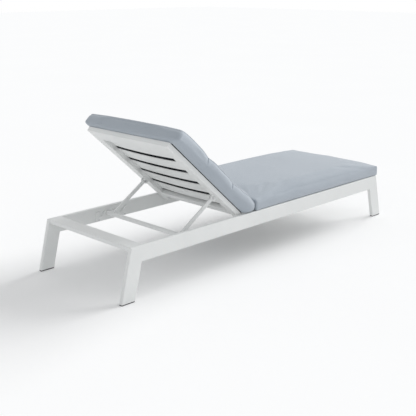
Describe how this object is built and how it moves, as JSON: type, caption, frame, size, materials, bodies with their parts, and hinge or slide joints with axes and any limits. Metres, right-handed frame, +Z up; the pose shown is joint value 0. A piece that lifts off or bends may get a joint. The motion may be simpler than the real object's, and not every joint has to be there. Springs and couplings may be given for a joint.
{
  "type": "sun lounger",
  "caption": "Low sun lounger: white tube frame on splayed legs, slatted backrest that reclines on a notched stay, and loose grey-blue seat and back cushions.",
  "frame": {"origin": "on the floor, under the middle of the frame", "axes": "+X to the foot end, +Y to the lying person's left, +Z up"},
  "size_m": [2, 0.6344, 0.7368],
  "materials": {
    "frame_tube": "white powder coat",
    "slats": "white powder coat",
    "stay": "white powder coat",
    "racks": "white powder coat",
    "plastic_fittings": "white nylon",
    "glides": "black plastic",
    "fasteners": "stainless steel",
    "seat_cushion": "woven outdoor fabric",
    "back_cushion": "woven outdoor fabric"
  },
  "bodies": {
    "frame": {"hinge_beam": "frame_tube", "seat_spine": "frame_tube", "head_end_beam": "frame_tube", "foot_end_beam": "frame_tube", "left_side_rail": "frame_tube", "left_seat_ledge": "frame_tube", "left_rack": "racks", "head_left_leg": "frame_tube", "head_left_glide": "glides", "foot_left_leg": "frame_tube", "foot_left_glide": "glides", "right_side_rail": "frame_tube", "right_seat_ledge": "frame_tube", "right_rack": "racks", "head_right_leg": "frame_tube", "head_right_glide": "glides", "foot_right_leg": "frame_tube", "foot_right_glide": "glides", "seat_slat_1": "slats", "seat_slat_2": "slats", "seat_slat_3": "slats", "seat_slat_4": "slats", "seat_slat_5": "slats", "seat_slat_6": "slats", "seat_slat_7": "slats", "seat_slat_8": "slats", "seat_slat_9": "slats", "seat_slat_10": "slats", "rack_screws": "fasteners", "hinge_bolts": "fasteners", "hinge_washers": "plastic_fittings", "hinge_nuts": "fasteners", "seat_cushion": "seat_cushion"},
    "backrest": {"back_left_stile": "frame_tube", "back_right_stile": "frame_tube", "back_top_rail": "frame_tube", "back_bottom_rail": "frame_tube", "back_slat_1": "slats", "back_slat_2": "slats", "back_slat_3": "slats", "back_slat_4": "slats", "back_slat_5": "slats", "left_stay_bracket": "stay", "right_stay_bracket": "stay", "stay_pivot_pins": "fasteners", "stile_caps": "plastic_fittings", "hinge_bushes": "plastic_fittings", "back_cushion": "back_cushion"},
    "stay": {"left_stay_arm": "stay", "right_stay_arm": "stay", "stay_crossbar": "stay", "stay_end_caps": "plastic_fittings"}
  },
  "joints": [
    {"name": "back_recline", "type": "hinge", "parent": "frame", "child": "backrest", "pos_m": [-0.2124, 0, 0.2375], "axis": [0, 1, 0], "range_deg": [-41.7, 18.3]},
    {"name": "stay_fold", "type": "hinge", "parent": "backrest", "child": "stay", "pos_m": [-0.3762, 0, 0.3513], "axis": [0, 1, 0], "range_deg": [-32.5, 73.6]}
  ],
  "couplings": [
    {"joint": "stay_fold", "follows": "back_recline", "ratio": -1.7588}
  ]
}
